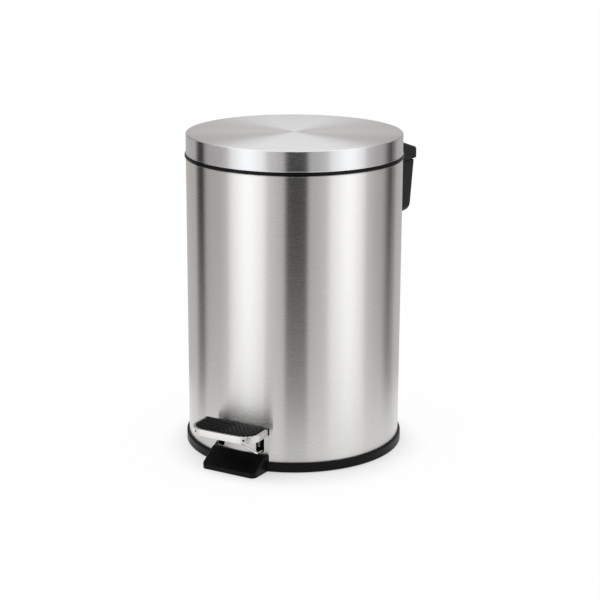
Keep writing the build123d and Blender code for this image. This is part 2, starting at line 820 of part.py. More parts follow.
# Crank under the hinge cover: a plate on the pin with a slot for the push rod's hook
slot_near = hook_offset - rod_hook_play
slot_far = hook_far + rod_hook_play
crank_turn = 180 + lid_opening / 2
crank_slot_place = (
    pin_y + (slot_near + slot_far) / 2 * cos(radians(crank_turn)),
    pin_z + (slot_near + slot_far) / 2 * sin(radians(crank_turn)),
)
crank_web_front = pin_y - crank_web
crank_web_back = pin_y + knuckle_radius
crank_web_gap = hinge_wall + fit_gap
with BuildPart() as lid_crank:
    with BuildSketch(Plane.YZ):
        with Locations((pin_y, pin_z)):
            Circle(knuckle_radius)
        with Locations(crank_slot_place):
            SlotCenterToCenter(slot_far - slot_near, crank_depth, rotation=crank_turn)
        make_hull()
        outline_face(
            [
                (crank_web_back, pin_z),
                (crank_web_back, cover_line(crank_web_back) - crank_web_gap),
                (crank_web_front, cover_line(crank_web_front) - crank_web_gap),
                (crank_web_front, pin_z),
            ]
        )
        with Locations((pin_y, pin_z)):
            Circle(pin_radius + running_gap, mode=Mode.SUBTRACT)
        with Locations(crank_slot_place):
            SlotCenterToCenter(slot_far - slot_near, slot_width, rotation=crank_turn, mode=Mode.SUBTRACT)
    extrude(amount=crank_thickness / 2, both=True)
    for plane in crank_screw_planes:
        with BuildSketch(plane):
            Circle(screw_diameter / 2 + running_gap)
        extrude(amount=-screw_length, mode=Mode.SUBTRACT)
finish(lid_crank, "lid_crank")

with BuildPart() as crank_screws:
    for plane in crank_screw_planes:
        screw(plane)
finish(crank_screws, "crank_screws")

# Push rod: up inside the body, out through its slot and into the crank
shoe_bottom = eye_z - rod_radius - shoe_wall
rod_path = [
    (0, rod_y, eye_z + shoe_height - shoe_socket),
    (0, rod_y, rod_joggle_start),
    (-rod_side, hook_y, rod_joggle_start + rod_joggle_rise),
    (-rod_side, hook_y, hook_z),
    (rod_side, hook_y, hook_z),
]
with BuildPart() as push_rod:
    with BuildLine():
        FilletPolyline(*rod_path, radius=(rod_bend, rod_bend, rod_hook_bend))
    with BuildSketch(Plane.XY.offset(eye_z + shoe_height - shoe_socket)):
        with Locations((0, rod_y)):
            Circle(rod_radius)
    sweep()
finish(push_rod, "push_rod")

with BuildPart() as rod_shoe:
    with BuildSketch(Plane.YZ):
        with Locations((rod_y, (shoe_bottom + eye_z + shoe_height) / 2)):
            RectangleRounded(2 * (rod_radius + shoe_wall), eye_z + shoe_height - shoe_bottom, shoe_wall)
        with Locations((rod_y, eye_z)):
            Circle(rod_radius + running_gap, mode=Mode.SUBTRACT)
    extrude(amount=rear_arm_inner - move_gap, both=True)
    with BuildSketch(Plane.XY.offset(eye_z + shoe_height)):
        with Locations((0, rod_y)):
            Circle(rod_radius + running_gap)
    extrude(amount=-shoe_socket, mode=Mode.SUBTRACT)
finish(rod_shoe, "rod_shoe")

nut_start = crank_thickness / 2 + move_gap
with BuildPart() as rod_nut:
    with BuildSketch(Plane.YZ.offset(nut_start)):
        with Locations((hook_y, hook_z)):
            Circle(rod_radius + nut_wall)
            Circle(rod_radius + running_gap, mode=Mode.SUBTRACT)
    extrude(amount=nut_thickness)
finish(rod_nut, "rod_nut")

guide_front_y = rod_y - rod_radius - shoe_wall
with BuildPart() as rod_guide:
    with BuildSketch(Plane.XY.offset(guide_level)):
        Circle(spigot_outer)
        with Locations((0, guide_front_y + body_radius / 2)):
            Rectangle(guide_width, body_radius, mode=Mode.INTERSECT)
        with Locations((0, rod_y)):
            SlotCenterToCenter(2 * guide_play, rod_diameter + 2 * guide_play, rotation=90, mode=Mode.SUBTRACT)
    extrude(amount=guide_height)
finish(rod_guide, "rod_guide")

# Pedal lever: two front arms through the body's slots, a web and a narrow rear arm to the push rod
web_z = rear_arm_line((web_start + web_end) / 2)
front_arm_points = [
    (web_end, web_z),
    (axle_y, axle_z),
    (pedal_back_y, arm_level),
    (arm_tip_y, arm_level),
]
rear_arm_points = [
    (web_start, rear_arm_line(web_start)),
    (rod_y, eye_z),
    (rod_y + rear_arm_end, eye_z),
]
bush_radius = axle_radius + running_gap + bush_wall
heel_front = -round_y(shell_inside, arm_inner + arm_thickness) + move_gap
heel_bottom = floor_top + heel_gap + arm_stroke
with BuildPart() as pedal_lever:
    for start in pair(arm_inner, arm_inner + arm_thickness):
        with BuildSketch(Plane.YZ.offset(start)):
            outline_face(bar(front_arm_points, arm_height))
            with Locations((heel_front + heel_length / 2, (heel_bottom + arm_at_body) / 2)):
                Rectangle(heel_length, arm_at_body - heel_bottom)
            with Locations((axle_y, axle_z)):
                Circle(arm_boss_radius)
                Circle(bush_radius + running_gap, mode=Mode.SUBTRACT)
            with Locations((rivet_y, rivet_level)):
                Circle(rivet_diameter / 2 + running_gap, mode=Mode.SUBTRACT)
        extrude(amount=arm_thickness)
    for start in pair(rear_arm_inner, rear_arm_inner + arm_thickness):
        with BuildSketch(Plane.YZ.offset(start)):
            outline_face(bar(rear_arm_points, arm_height))
            with Locations((rod_y, eye_z)):
                Circle(rod_radius + running_gap, mode=Mode.SUBTRACT)
        extrude(amount=arm_thickness)
    with BuildSketch(Plane.XY.offset(web_z - web_thickness / 2)):
        with Locations((0, (web_start + web_end) / 2)):
            Rectangle(2 * (arm_inner + arm_thickness), web_end - web_start)
    extrude(amount=web_thickness)
finish(pedal_lever, "pedal_lever")

with BuildPart() as lever_bushes:
    for side in (-1, 1):
        with BuildSketch(Plane.YZ.offset(side * arm_inner)):
            with Locations((axle_y, axle_z)):
                Circle(bush_radius)
                Circle(axle_radius + running_gap, mode=Mode.SUBTRACT)
        extrude(amount=side * (arm_thickness + running_gap))
        with BuildSketch(Plane.YZ.offset(side * (arm_inner + arm_thickness + running_gap))):
            with Locations((axle_y, axle_z)):
                Circle(bush_radius + bush_wall)
                Circle(axle_radius + running_gap, mode=Mode.SUBTRACT)
        extrude(amount=side * bush_flange)
finish(lever_bushes, "lever_bushes")

axle_end = post_end + fit_gap + 2 * clip_thickness
with BuildPart() as pedal_axle:
    with BuildSketch(Plane.YZ):
        with Locations((axle_y, axle_z)):
            Circle(axle_radius)
    extrude(amount=axle_end, both=True)
finish(pedal_axle, "pedal_axle")

with BuildPart() as axle_clips:
    for side in (-1, 1):
        with BuildSketch(Plane.YZ.offset(side * (post_end + fit_gap))):
            with Locations((axle_y, axle_z)):
                Circle(axle_radius + clip_wall)
                Circle(axle_radius + running_gap, mode=Mode.SUBTRACT)
        extrude(amount=side * clip_thickness)
finish(axle_clips, "axle_clips")

rod_pin_half = rear_arm_inner + arm_thickness + clip_thickness
with BuildPart() as rod_pin:
    with BuildSketch(Plane.YZ):
        with Locations((rod_y, eye_z)):
            Circle(rod_radius)
    extrude(amount=rod_pin_half, both=True)
finish(rod_pin, "rod_pin")

# Pedal: plastic core on the arms, steel cover around its front and sides, rubber pad on top
back_wall_y = pedal_back_y - pedal_back_wall
bearer_bottom = crossbar_z + spring_radius + spring_gap
with BuildPart() as pedal_core:
    with BuildSketch(Plane.XY.offset(pedal_bottom)):
        add(tread_face(0, pedal_back_y))
        with Locations((0, back_wall_y + body_radius / 2)):
            Rectangle(2 * pedal_half_width, body_radius, mode=Mode.INTERSECT)
    extrude(amount=pedal_skirt)
    with BuildSketch(Plane.XY.offset(pedal_bottom)):
        add(tread_face(pedal_sheet + fit_gap, pedal_back_y - pedal_sheet))
    extrude(amount=core_top - pedal_bottom)
    with BuildSketch(Plane.XY.offset(bearer_bottom)):
        with Locations((0, crossbar_y)):
            Rectangle(2 * (spring_crossbar_half + spring_wire), 3 * spring_wire)
    extrude(amount=pedal_bottom - bearer_bottom)
    for side in (-nub_side, nub_side):
        with BuildSketch(Plane.XZ.offset(-rivet_y)):
            with Locations((side, pedal_bottom + nub_rise)):
                Circle(nub_diameter / 2)
        extrude(amount=rivet_y - pedal_front_y - nub_setback)
    for start in pair(arm_inner, arm_inner + arm_thickness):
        with BuildSketch(Plane.YZ.offset(start - fit_gap)):
            with Locations(((pedal_back_y + arm_tip_y) / 2, arm_level)):
                Rectangle(arm_tip_reach + 2 * fit_gap, arm_height + 2 * fit_gap)
        extrude(amount=arm_thickness + 2 * fit_gap, mode=Mode.SUBTRACT)
    with BuildSketch(Plane.YZ):
        with Locations((rivet_y, rivet_level)):
            Circle(rivet_diameter / 2 + running_gap)
    extrude(amount=arm_inner + 2 * arm_thickness, both=True, mode=Mode.SUBTRACT)
finish(pedal_core, "pedal_core")

with BuildPart() as pedal_rivets:
    for start in pair(arm_inner - arm_thickness, arm_inner + 2 * arm_thickness):
        with BuildSketch(Plane.YZ.offset(start)):
            with Locations((rivet_y, rivet_level)):
                Circle(rivet_diameter / 2)
        extrude(amount=3 * arm_thickness)
finish(pedal_rivets, "pedal_rivets")

with BuildPart() as pedal_cover:
    with BuildSketch(Plane.XY.offset(pedal_bottom)):
        add(tread_face(0, pedal_back_y))
    extrude(amount=pedal_skirt)
    fillet(pedal_cover.edges().group_by(Axis.Z)[-1], pedal_edge_round)
    with BuildSketch(Plane.XY.offset(pedal_bottom)):
        add(tread_face(pedal_sheet, pedal_back_y))
    extrude(amount=pedal_skirt - pedal_sheet, mode=Mode.SUBTRACT)
    with BuildSketch(Plane.XY.offset(pedal_bottom)):
        add(tread_face(pad_margin, pedal_back_y))
    extrude(amount=pedal_skirt, mode=Mode.SUBTRACT)
    with BuildSketch(Plane.XY.offset(pedal_bottom)):
        with Locations((0, back_wall_y - fit_gap + body_radius / 2)):
            Rectangle(2 * pedal_half_width, body_radius)
    extrude(amount=pedal_skirt, mode=Mode.SUBTRACT)
    for side in (-nub_side, nub_side):
        with BuildSketch(Plane.XZ.offset(-rivet_y)):
            with Locations((side, pedal_bottom + nub_rise)):
                Circle(nub_diameter / 2 + fit_gap)
        extrude(amount=pedal_depth, mode=Mode.SUBTRACT)
finish(pedal_cover, "pedal_cover")

with BuildPart() as pedal_pad:
    with BuildSketch(Plane.XY.offset(core_top)):
        add(tread_face(pad_margin + fit_gap, back_wall_y - fit_gap))
    extrude(amount=pedal_top + pad_proud - core_top)
finish(pedal_pad, "pedal_pad")

# Wire return spring: seated in the base, out through the slots and bearing under the pedal
spring_end_y = seat_y + seat_depth / 2
spring_bend_y = -(body_radius + spring_bend_reach)
spring_path = [
    (spring_side, spring_end_y, spring_level),
    (spring_side, spring_bend_y, spring_level),
    (spring_crossbar_half, crossbar_y, crossbar_z),
    (-spring_crossbar_half, crossbar_y, crossbar_z),
    (-spring_side, spring_bend_y, spring_level),
    (-spring_side, spring_end_y, spring_level),
]
with BuildPart() as pedal_spring:
    with BuildLine():
        FilletPolyline(*spring_path, radius=spring_bend)
    with BuildSketch(Plane.XZ.offset(-spring_end_y)):
        with Locations((spring_side, spring_level)):
            Circle(spring_radius)
    sweep()
finish(pedal_spring, "pedal_spring")
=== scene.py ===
# %% [markdown]
# # A pedal trash can, dressed in Blender
# The construction is finished before this script starts: every shell, pin and lever already has
# its real size and place. Here the pieces get their finishes, and the few forms that a solid model
# keeps plain get their real shape. One option is to import the parts and fit new meshes by eye.
# The other, used here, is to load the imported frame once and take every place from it.

# %% Load the frame
import json
import math

import bmesh
import bpy
from mathutils import Matrix, Vector


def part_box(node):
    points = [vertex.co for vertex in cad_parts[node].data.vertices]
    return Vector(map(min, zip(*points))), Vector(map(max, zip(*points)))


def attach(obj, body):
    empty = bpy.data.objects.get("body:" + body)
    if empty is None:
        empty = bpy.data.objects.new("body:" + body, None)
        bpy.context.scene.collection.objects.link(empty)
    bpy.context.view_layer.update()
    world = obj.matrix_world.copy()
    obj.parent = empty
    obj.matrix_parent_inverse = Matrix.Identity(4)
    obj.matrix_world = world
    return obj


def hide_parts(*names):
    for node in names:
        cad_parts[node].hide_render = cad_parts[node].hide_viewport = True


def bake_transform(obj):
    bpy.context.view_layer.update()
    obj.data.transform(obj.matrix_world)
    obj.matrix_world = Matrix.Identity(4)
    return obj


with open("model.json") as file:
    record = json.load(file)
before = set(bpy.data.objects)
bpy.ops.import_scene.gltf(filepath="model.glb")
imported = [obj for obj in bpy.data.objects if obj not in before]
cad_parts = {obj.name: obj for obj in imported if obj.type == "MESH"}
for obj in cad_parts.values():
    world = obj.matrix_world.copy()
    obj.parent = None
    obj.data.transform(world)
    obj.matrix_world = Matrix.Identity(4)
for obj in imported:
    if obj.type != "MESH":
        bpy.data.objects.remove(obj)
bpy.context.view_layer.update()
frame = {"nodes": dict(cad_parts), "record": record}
nodes = frame["nodes"]
MM = 0.001

# %% [markdown]
# ## Camera
# The picture was taken from the front right, a little above the lid, with a long lens. A camera can
# be aimed with a Track To constraint, but a constraint hides the numbers. Building the matrix from
# an azimuth, a pitch and a small roll keeps each of them in plain sight.

# %% Place the camera
IMAGE_SIZE = 600
FOCAL_PIXELS = 1650.8
SENSOR_WIDTH = 36.0
CAMERA_AZIMUTH = math.radians(29.4)
CAMERA_PITCH = math.radians(15.56)
CAMERA_ROLL = -0.0043
CAMERA_DISTANCE = 1.8776
CAMERA_HEIGHT = 0.6913
CAMERA_SIDESTEP = 0.00705

towards = Vector((-math.sin(CAMERA_AZIMUTH), math.cos(CAMERA_AZIMUTH), 0))
rightwards = Vector((math.cos(CAMERA_AZIMUTH), math.sin(CAMERA_AZIMUTH), 0))


def make_camera():
    """A long-lens camera that looks down at the can from its front right."""
    view = towards * math.cos(CAMERA_PITCH) - Vector((0, 0, math.sin(CAMERA_PITCH)))
    turn = Matrix.Rotation(CAMERA_ROLL, 3, view)
    right = turn @ rightwards
    up = right.cross(view)
    camera = bpy.data.objects.new("camera", bpy.data.cameras.new("camera"))
    bpy.context.scene.collection.objects.link(camera)
    camera.data.sensor_width = SENSOR_WIDTH
    camera.data.lens = FOCAL_PIXELS / IMAGE_SIZE * SENSOR_WIDTH
    place = rightwards * CAMERA_SIDESTEP - towards * CAMERA_DISTANCE + Vector((0, 0, CAMERA_HEIGHT))
    axes = Matrix((right, up, -view)).transposed().to_4x4()
    camera.matrix_world = Matrix.Translation(place) @ axes
    bpy.context.scene.camera = camera
    return camera


camera = make_camera()
bpy.context.scene.view_settings.view_transform = "Standard"
print("camera at", [round(v, 3) for v in camera.matrix_world.translation])

# %% [markdown]
# ## Node helpers
# Every finish below is a small tree of nodes. Wiring one socket at a time takes many lines, so two
# helpers do it: one adds a node with its settings, and one chains Math nodes into a formula.

# %% Helpers for node trees


def add_node(tree, kind, settings=None, inputs=None):
    """Add a node, set its properties, and set or link its inputs by name or number."""
    node = tree.nodes.new(kind)
    for name, value in (settings or {}).items():
        setattr(node, name, value)
    for key, value in (inputs or {}).items():
        if isinstance(value, bpy.types.NodeSocket):
            tree.links.new(value, node.inputs[key])
        else:
            node.inputs[key].default_value = value
    return node


def maths(tree, operation, *values):
    """One Math node on numbers or sockets, giving its result socket."""
    node = add_node(tree, "ShaderNodeMath", {"operation": operation}, dict(enumerate(values)))
    return node.outputs[0]


def new_material(name):
    """An empty node material with a Principled shader on its output."""
    material = bpy.data.materials.new(name)
    material.use_nodes = True
    tree = material.node_tree
    tree.nodes.clear()
    output = add_node(tree, "ShaderNodeOutputMaterial")
    shader = add_node(tree, "ShaderNodeBsdfPrincipled")
    tree.links.new(shader.outputs[0], output.inputs[0])
    return material, tree, shader


print("node helpers ready")

# %% [markdown]
# ## Even light
# The can stands in soft light that comes from everywhere. Lamps would leave spots on a steel cylinder
# and hard edges in its shadow. A plain white world of strength 1 has no direction, and under it every
# colour comes out about as it is written.

# %% White world


def make_world():
    """An even white world."""
    world = bpy.data.worlds.new("studio")
    bpy.context.scene.world = world
    world.use_nodes = True
    tree = world.node_tree
    tree.nodes.clear()
    background = add_node(tree, "ShaderNodeBackground", None, {"Color": (1, 1, 1, 1), "Strength": 1.0})
    output = add_node(tree, "ShaderNodeOutputWorld")
    tree.links.new(background.outputs[0], output.inputs[0])
    return world


world = make_world()
print("world:", world.name)

# %% [markdown]
# ## Soft blends
# The light tent and the floor both fade from one brightness to another. A Color Ramp can hold such a
# fade, but its stops are hard to read in a script. A few helpers say it in words instead: a smooth
# rise, a mix of two values or two colours, and a band with soft edges.

# %% Helpers for soft blends


def in_radians(angles):
    """Angles in degrees as radians."""
    return [math.radians(angle) for angle in angles]


def smooth_step(tree, value, low, high):
    """A smooth rise from 0 to 1 while a value goes from low to high."""
    rise = {"Value": value, "From Min": low, "From Max": high}
    return add_node(tree, "ShaderNodeMapRange", {"interpolation_type": "SMOOTHSTEP"}, rise).outputs[0]


def mixed(tree, share, first, second):
    """A value that goes from first to second with a share."""
    return add_node(tree, "ShaderNodeMix", None, {0: share, 2: first, 3: second}).outputs[0]


def colour_mix(tree, share, first, second):
    """A colour that goes from first to second with a share."""
    colours = {0: share, 6: first, 7: second}
    return add_node(tree, "ShaderNodeMix", {"data_type": "RGBA"}, colours).outputs[2]


def band(tree, value, start, end, softness):
    """1 while a value lies between start and end, fading to 0 at soft edges."""
    inside = smooth_step(tree, value, start - softness, start + softness)
    beyond = smooth_step(tree, value, end - softness, end + softness)
    return maths(tree, "SUBTRACT", inside, beyond)


print("soft blends ready")

# %% [markdown]
# ## Panels of light
# Brushed steel shows what stands around it, so the room matters as much as the metal. White and black
# cards on stands could make the bands on the body. Painting the cards on the wall of a round tent
# needs fewer pieces: each panel is a band of angles with soft edges that adds light to a middle grey
# or takes some away. The wall grows paler towards the floor and straight behind the can.

# %% Panels on the tent's wall
BASE_LEVEL = 0.54
REAR_LEVEL = 0.14
REAR_RISE = (145, 178)
GROUND_LEVEL = 0.9
GROUND_SHARE = 0.28
GROUND_RISE = (-0.02, 0.34)
PANELS = [
    # from and to, in degrees from the camera, softness of the edges, brightness added
    (-63.6, -13.5, 6, 0.17),
    (-57.3, -23.1, 3, 0.42),
    (-48.1, -31.7, 12, 0.48),
    (23.1, 73.3, 8, 0.17),
    (29.3, 64.1, 3.5, 0.42),
    (40.4, 54.9, 12, 0.48),
    (-7.2, 11.3, 2.5, -0.54),
    (-102.1, -88.4, 3, -0.54),
    (91.8, 108.4, 7, -0.48),
]


def wall_level(tree, azimuth, height):
    """Brightness of the wall: bright and dark panels around it, paler behind and near the floor."""
    rear = smooth_step(tree, maths(tree, "ABSOLUTE", azimuth), *in_radians(REAR_RISE))
    level = maths(tree, "MULTIPLY_ADD", rear, REAR_LEVEL, BASE_LEVEL)
    for *edges, brightness in PANELS:
        panel = band(tree, azimuth, *in_radians(edges))
        level = maths(tree, "MULTIPLY_ADD", panel, brightness, level)
    raised = smooth_step(tree, height, *GROUND_RISE)
    ground = maths(tree, "MULTIPLY_ADD", raised, -GROUND_SHARE, GROUND_SHARE)
    return mixed(tree, ground, level, GROUND_LEVEL)


print("tent panels:", len(PANELS))

# %% [markdown]
# ## Bright top
# The lid looks up at the tent's top and shows it as a fan of light and shade. An evenly bright top
# would leave the lid blank. The wall passes into the top sooner in front than behind, and a flag at
# each side behind, which is a photographer's word for a dark card, gives the fan its darker parts.

# %% Top of the tent and its flags
TOP_LEVEL = 1.45
TOP_RISE_BEHIND = (0.395, 0.754)
TOP_RISE_IN_FRONT = (0.395, 0.617)
FRONT_SIDE = (0.0, 0.7)
FLAGS = (112, 140, 6)
FLAG_HEIGHTS = (0.404, 0.668, 0.026)
FLAG_SHADE = 0.45


def top_share(tree, azimuth, height):
    """How far the bright top takes over from the wall, sooner in front than behind."""
    facing = smooth_step(tree, maths(tree, "COSINE", azimuth), *FRONT_SIDE)
    behind = smooth_step(tree, height, *TOP_RISE_BEHIND)
    in_front = smooth_step(tree, height, *TOP_RISE_IN_FRONT)
    return mixed(tree, facing, behind, in_front)


def light_past_flags(tree, azimuth, height):
    """The share of the light that is left: 1 beside the flags and less on them."""
    around = band(tree, maths(tree, "ABSOLUTE", azimuth), *in_radians(FLAGS))
    flag = maths(tree, "MULTIPLY", around, band(tree, height, *FLAG_HEIGHTS))
    return maths(tree, "MULTIPLY_ADD", flag, -FLAG_SHADE, 1.0)


print("flags from", FLAGS[0], "to", FLAGS[1], "degrees on both sides")

# %% [markdown]
# ## Glow of the tent
# The tent gives off its light by itself, so its material is a plain Emission shader whose strength
# follows the panels, the top and the flags. One colour for all of it would look flat. In the picture
# the dim parts of the steel are a little warmer than the bright ones, and so is the glow.

# %% Material of the tent
WARM_LIGHT = (1.045, 1.0, 0.98, 1)
WHITE_LIGHT = (1, 1, 1, 1)
WARM_TO_WHITE = (0.75, 1.2)


def tent_light():
    """A glow that follows the panels, the top and the flags, warmer where it is dim."""
    material = bpy.data.materials.new("tent_light")
    material.use_nodes = True
    tree = material.node_tree
    tree.nodes.clear()
    place = add_node(tree, "ShaderNodeTexCoord").outputs["Object"]
    dot = {"operation": "DOT_PRODUCT"}
    across = add_node(tree, "ShaderNodeVectorMath", dot, {0: place, 1: rightwards}).outputs["Value"]
    front = add_node(tree, "ShaderNodeVectorMath", dot, {0: place, 1: -towards}).outputs["Value"]
    azimuth = maths(tree, "ARCTAN2", across, front)
    height = add_node(tree, "ShaderNodeSeparateXYZ", None, {0: place}).outputs["Z"]
    wall = wall_level(tree, azimuth, height)
    lit = mixed(tree, top_share(tree, azimuth, height), wall, TOP_LEVEL)
    strength = maths(tree, "MULTIPLY", lit, light_past_flags(tree, azimuth, height))
    white = smooth_step(tree, strength, *WARM_TO_WHITE)
    colour = colour_mix(tree, white, WARM_LIGHT, WHITE_LIGHT)
    glow = add_node(tree, "ShaderNodeEmission", None, {"Color": colour, "Strength": strength})
    output = add_node(tree, "ShaderNodeOutputMaterial")
    tree.links.new(glow.outputs[0], output.inputs[0])
    return material


tent_glow = tent_light()
print("tent nodes:", len(tent_glow.node_tree.nodes))

# %% [markdown]
# ## Tent
# The tent is a closed cylinder around the can, and it stands a little way through the floor. Lamps in
# the same places would also light the can a second time. A mesh that only reflections see adds the
# bands to the steel and leaves the even light as it is.

# %% Round tent
TENT_RADIUS = 0.29
TENT_BOTTOM = -0.02
TENT_TOP = 1.3
TENT_SIDES = 128


def add_stage(name, mesh, material):
    """Put a mesh of the studio on the stage."""
    piece = bpy.data.objects.new(name, mesh)
    bpy.context.scene.collection.objects.link(piece)
    mesh.materials.append(material)
    return piece


def make_tent():
    """A round closed tent that only reflections see."""
    mesh = bpy.data.meshes.new("tent")
    shape = bmesh.new()
    bmesh.ops.create_cone(
        shape,
        segments=TENT_SIDES,
        radius1=TENT_RADIUS,
        radius2=TENT_RADIUS,
        depth=TENT_TOP - TENT_BOTTOM,
        cap_ends=True,
        matrix=Matrix.Translation((0, 0, (TENT_BOTTOM + TENT_TOP) / 2)),
    )
    shape.to_mesh(mesh)
    shape.free()
    tent = add_stage("tent", mesh, tent_glow)
    tent.visible_camera = False
    tent.visible_diffuse = False
    tent.visible_transmission = False
    tent.visible_shadow = False
    return tent


tent = make_tent()
print("tent faces:", len(tent.data.polygons))

# %% [markdown]
# ## Floor
# The can stands on white. Stronger light would make a floor white but would burn out the can as well,
# so the floor is a pale matt one that takes the soft shadow. A glow that the eye, metal and glass see
# lifts it to white. It lights nothing. It is weaker around the can, so the real soft shadow shows, but
# the weak ring, sized and moved towards the camera, is a painted shadow shape, longer in front.

# %% Pale floor
FLOOR_SIZE = 12.0
FLOOR_TONE = 0.94
FLOOR_ROUGHNESS = 0.9
# The weaker glow near the can is a painted shadow ring around it.
FLOOR_GLOW_NEAR = 0.48
FLOOR_GLOW_FAR = 0.95
PAINTED_SHADOW_SPREAD = (0.116, 0.165)
PAINTED_SHADOW_SHIFT = 0.02
FLOOR_GLOW_STRENGTH = 1.0


def floor_glow_share(tree):
    """Share of glow seen by the eye and by reflections: lower in a painted shadow around the can."""
    rays = add_node(tree, "ShaderNodeLightPath").outputs
    mirrored = maths(tree, "MAXIMUM", rays["Is Glossy Ray"], rays["Is Transmission Ray"])
    seen = maths(tree, "MAXIMUM", rays["Is Camera Ray"], mirrored)
    place = add_node(tree, "ShaderNodeTexCoord").outputs["Object"]
    # Painted shadow: the weak glow is centred a little towards the camera, so the shadow reaches further
    # in front.
    middle = -towards * PAINTED_SHADOW_SHIFT
    gap = {"operation": "DISTANCE"}
    distance = add_node(tree, "ShaderNodeVectorMath", gap, {0: place, 1: middle}).outputs["Value"]
    away = smooth_step(tree, distance, *PAINTED_SHADOW_SPREAD)
    glowing = maths(tree, "MULTIPLY_ADD", away, FLOOR_GLOW_FAR - FLOOR_GLOW_NEAR, FLOOR_GLOW_NEAR)
    return maths(tree, "MULTIPLY", seen, glowing)


def floor_finish():
    """A pale matt floor with a glow mixed in."""
    material, tree, shader = new_material("pale_floor")
    shader.inputs["Base Color"].default_value = (FLOOR_TONE, FLOOR_TONE, FLOOR_TONE, 1)
    shader.inputs["Roughness"].default_value = FLOOR_ROUGHNESS
    shader.inputs["Specular IOR Level"].default_value = 0.0
    glow = add_node(tree, "ShaderNodeEmission", None, {"Strength": FLOOR_GLOW_STRENGTH})
    blend = {0: floor_glow_share(tree), 1: shader.outputs[0], 2: glow.outputs[0]}
    both = add_node(tree, "ShaderNodeMixShader", None, blend)
    output = next(node for node in tree.nodes if node.type == "OUTPUT_MATERIAL")
    tree.links.new(both.outputs[0], output.inputs[0])
    return material


def make_floor():
    """A large flat floor under the can."""
    mesh = bpy.data.meshes.new("floor")
    half = FLOOR_SIZE / 2
    corners = [(-half, -half, 0), (half, -half, 0), (half, half, 0), (-half, half, 0)]
    mesh.from_pydata(corners, [], [(0, 1, 2, 3)])
    return add_stage("floor", mesh, floor_finish())


floor = make_floor()
print("floor width:", floor.dimensions.x)

# %% [markdown]
# ## Scratches
# The belt that brushes a steel sheet leaves fine scratches along its path. An image of scratches would
# show its pixels close up. Noise that is drawn out along the brushing has no pixels, and the same noise
# serves for the tone, the gloss and the relief.

# %% Helpers for scratched steel
NOISE_LOW = 0.3
NOISE_HIGH = 0.7


def scratches(tree, coordinate, fine, long):
    """Noise drawn out along the brushing: fine across it, long beside it."""
    stretch = {0: coordinate, 1: (long, long, fine)}
    scaled = add_node(tree, "ShaderNodeVectorMath", {"operation": "MULTIPLY"}, stretch).outputs[0]
    noise = {"Vector": scaled, "Scale": 1.0, "Detail": 3.0, "Roughness": 0.65}
    return add_node(tree, "ShaderNodeTexNoise", None, noise).outputs["Fac"]


def remap(tree, value, low, high):
    """Spread a noise value, which mostly stays near its middle, between two levels."""
    spread = {"From Min": NOISE_LOW, "From Max": NOISE_HIGH, "To Min": low, "To Max": high}
    return add_node(tree, "ShaderNodeMapRange", None, {"Value": value, **spread}).outputs[0]


def steel_colour(tree, value, tint):
    """A grey of a given brightness with a faint tint."""
    channels = [maths(tree, "MULTIPLY", value, share) for share in tint]
    return add_node(tree, "ShaderNodeCombineColor", None, dict(enumerate(channels))).outputs[0]


print("scratch helpers ready")

# %% [markdown]
# ## Brushed steel
# Scratches around a tube spread a reflection up and down but hardly sideways, which is why the body
# shows upright bands of light and dark. Bump alone would need scratches far finer than a pixel. An
# anisotropic shader with a tangent that runs around the axis gives the bands, and the drawn-out noise
# on top gives the scratches. The lid's flat top is brushed in circles, so there the radius takes the
# place of the height.

# %% Brushed steel finish
BRUSH_FINE = 3200.0
BRUSH_LONG = 45.0
STREAK_RATIO = 6
BRUSH_TURN = 0.25
BRUSH_ANISOTROPY = 1.0
BRUSH_RELIEF = 0.012
BRUSH_DEPTH = 0.05 * MM
STEEL_TONE = 0.67
TONE_SPREAD = 0.016
STEEL_ROUGHNESS = 0.27
GLOSS_SPREAD = 0.02
FLAT_TOP = 0.8
BODY_TINT = (1.009, 1.0, 0.984)
LID_TINT = (0.968, 0.98, 0.995)


def circled(tree, coordinates):
    """A place whose height is changed for its radius where the surface looks up."""
    x, y, z = add_node(tree, "ShaderNodeSeparateXYZ", None, {0: coordinates["Object"]}).outputs
    flat = add_node(tree, "ShaderNodeCombineXYZ", None, {0: x, 1: y}).outputs[0]
    length = {"operation": "LENGTH"}
    radius = add_node(tree, "ShaderNodeVectorMath", length, {0: flat}).outputs["Value"]
    facing = add_node(tree, "ShaderNodeSeparateXYZ", None, {0: coordinates["Normal"]}).outputs["Z"]
    across = mixed(tree, maths(tree, "GREATER_THAN", facing, FLAT_TOP), z, radius)
    return add_node(tree, "ShaderNodeCombineXYZ", None, {0: x, 1: y, 2: across}).outputs[0]


